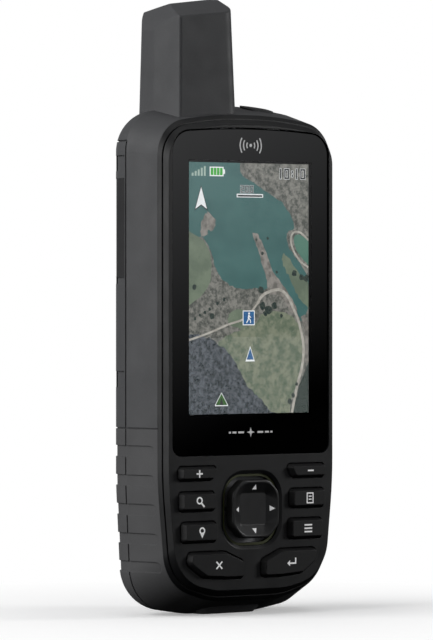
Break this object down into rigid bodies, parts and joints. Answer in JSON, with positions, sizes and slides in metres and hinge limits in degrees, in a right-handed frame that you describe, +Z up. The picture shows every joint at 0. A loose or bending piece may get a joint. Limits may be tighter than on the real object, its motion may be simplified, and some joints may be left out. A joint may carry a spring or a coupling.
{
  "type": "handheld gps unit",
  "caption": "Rugged handheld GPS receiver with a stub antenna, portrait map display, front keys with a rocker, ribbed grip and a rear battery door with a lifting ring.",
  "frame": {"origin": "middle of the unit's box at the plane it stands on", "axes": "+X to the right of the display, +Y to the back, +Z up towards the antenna; the display faces -Y"},
  "size_m": [0.062, 0.035, 0.163],
  "materials": {
    "shell_grey": "fine-textured grey-black polycarbonate",
    "shell_black": "satin black polycarbonate",
    "grip_rubber": "soft matte overmould",
    "inlay_rubber": "dark soft strip",
    "key_rubber": "satin key tops",
    "rocker_plastic": "satin black",
    "ring_olive": "olive",
    "cover_glass": "clear, black printed border",
    "lcd": "transflective colour display",
    "backlight": "white diffuser",
    "tray_steel": "pressed sheet",
    "screw_steel": "blackened steel",
    "ring_steel": "bead-blasted stainless",
    "board": "green solder mask",
    "shield": "tinned sheet",
    "dome_steel": "snap domes",
    "silicone": "translucent grey",
    "seal": "black seal",
    "ceramic": "antenna core",
    "copper": "etched strip",
    "cable": "jacket",
    "cell_jacket": "AA cell jacket",
    "contact": "nickel-plated"
  },
  "bodies": {
    "case": {"front_housing": "shell_black", "housing_gasket": "seal", "mid_housing": "shell_grey", "rear_housing": "shell_grey", "grip_overmould": "grip_rubber", "side_inlay_left": "inlay_rubber", "side_inlay_right": "inlay_rubber", "antenna_housing": "shell_grey", "antenna_base": "board", "helix_core": "ceramic", "helix_strips": "copper", "antenna_coax": "cable", "display_glass": "cover_glass", "display_gasket": "seal", "lcd_panel": "lcd", "backlight_unit": "backlight", "display_frame": "tray_steel", "main_board": "board", "board_screws": "screw_steel", "shield_cans": "shield", "dome_switches": "dome_steel", "keypad_mat": "silicone", "rocker_ring": "ring_olive", "power_switch": "cable", "io_board": "board", "usb_connector": "tray_steel", "beeper": "cable", "battery_left": "cell_jacket", "battery_right": "cell_jacket", "contact_springs": "contact", "contact_plates": "contact", "door_gasket": "seal", "spine_rail": "shell_black", "spine_screws": "screw_steel", "housing_screws": "screw_steel"},
    "rocker_stem": {"rocker_stem": "rocker_plastic"},
    "rocker_cap": {"rocker_cap": "rocker_plastic"},
    "power_button": {"power_button": "key_rubber"},
    "battery_door": {"battery_door": "shell_grey"},
    "door_latch": {"door_latch": "shell_black"},
    "d_ring": {"d_ring": "ring_steel"},
    "weather_cap": {"weather_cap": "inlay_rubber"},
    "key_plus": {"key_plus": "key_rubber"},
    "key_minus": {"key_minus": "key_rubber"},
    "key_find": {"key_find": "key_rubber"},
    "key_page": {"key_page": "key_rubber"},
    "key_mark": {"key_mark": "key_rubber"},
    "key_menu": {"key_menu": "key_rubber"},
    "key_quit": {"key_quit": "key_rubber"},
    "key_enter": {"key_enter": "key_rubber"}
  },
  "joints": [
    {"name": "press_plus", "type": "slide", "parent": "case", "child": "key_plus", "axis": [0, 1, 0], "range_m": [0, 0.0006], "stiffness_N_per_m": 1200},
    {"name": "press_minus", "type": "slide", "parent": "case", "child": "key_minus", "axis": [0, 1, 0], "range_m": [0, 0.0006], "stiffness_N_per_m": 1200},
    {"name": "press_find", "type": "slide", "parent": "case", "child": "key_find", "axis": [0, 1, 0], "range_m": [0, 0.0006], "stiffness_N_per_m": 1200},
    {"name": "press_page", "type": "slide", "parent": "case", "child": "key_page", "axis": [0, 1, 0], "range_m": [0, 0.0006], "stiffness_N_per_m": 1200},
    {"name": "press_mark", "type": "slide", "parent": "case", "child": "key_mark", "axis": [0, 1, 0], "range_m": [0, 0.0006], "stiffness_N_per_m": 1200},
    {"name": "press_menu", "type": "slide", "parent": "case", "child": "key_menu", "axis": [0, 1, 0], "range_m": [0, 0.0006], "stiffness_N_per_m": 1200},
    {"name": "press_quit", "type": "slide", "parent": "case", "child": "key_quit", "axis": [0, 1, 0], "range_m": [0, 0.0006], "stiffness_N_per_m": 1200},
    {"name": "press_enter", "type": "slide", "parent": "case", "child": "key_enter", "axis": [0, 1, 0], "range_m": [0, 0.0006], "stiffness_N_per_m": 1200},
    {"name": "press_power", "type": "slide", "parent": "case", "child": "power_button", "axis": [0, 0, -1], "range_m": [0, 0.0005], "stiffness_N_per_m": 1200},
    {"name": "rocker_up_down", "type": "hinge", "parent": "case", "child": "rocker_stem", "pos_m": [0, -0.0132, 0.0281], "axis": [1, 0, 0], "range_deg": [-4, 4], "stiffness_Nm_per_rad": 0.35},
    {"name": "rocker_left_right", "type": "hinge", "parent": "rocker_stem", "child": "rocker_cap", "pos_m": [0, -0.0132, 0.0281], "axis": [0, 0, 1], "range_deg": [-4, 4], "stiffness_Nm_per_rad": 0.35},
    {"name": "door_swing", "type": "hinge", "parent": "case", "child": "battery_door", "pos_m": [0, 0.0153, 0.09], "axis": [1, 0, 0], "range_deg": [0, 75]},
    {"name": "latch_turn", "type": "hinge", "parent": "battery_door", "child": "door_latch", "pos_m": [0, 0.0152, 0.024], "axis": [0, 1, 0], "range_deg": [0, 90]},
    {"name": "ring_fold", "type": "hinge", "parent": "door_latch", "child": "d_ring", "pos_m": [0, 0.0165, 0.024], "axis": [1, 0, 0], "range_deg": [0, 90]},
    {"name": "cap_open", "type": "hinge", "parent": "case", "child": "weather_cap", "pos_m": [0, 0.0082, 0.1226], "axis": [1, 0, 0], "range_deg": [0, 110]}
  ]
}
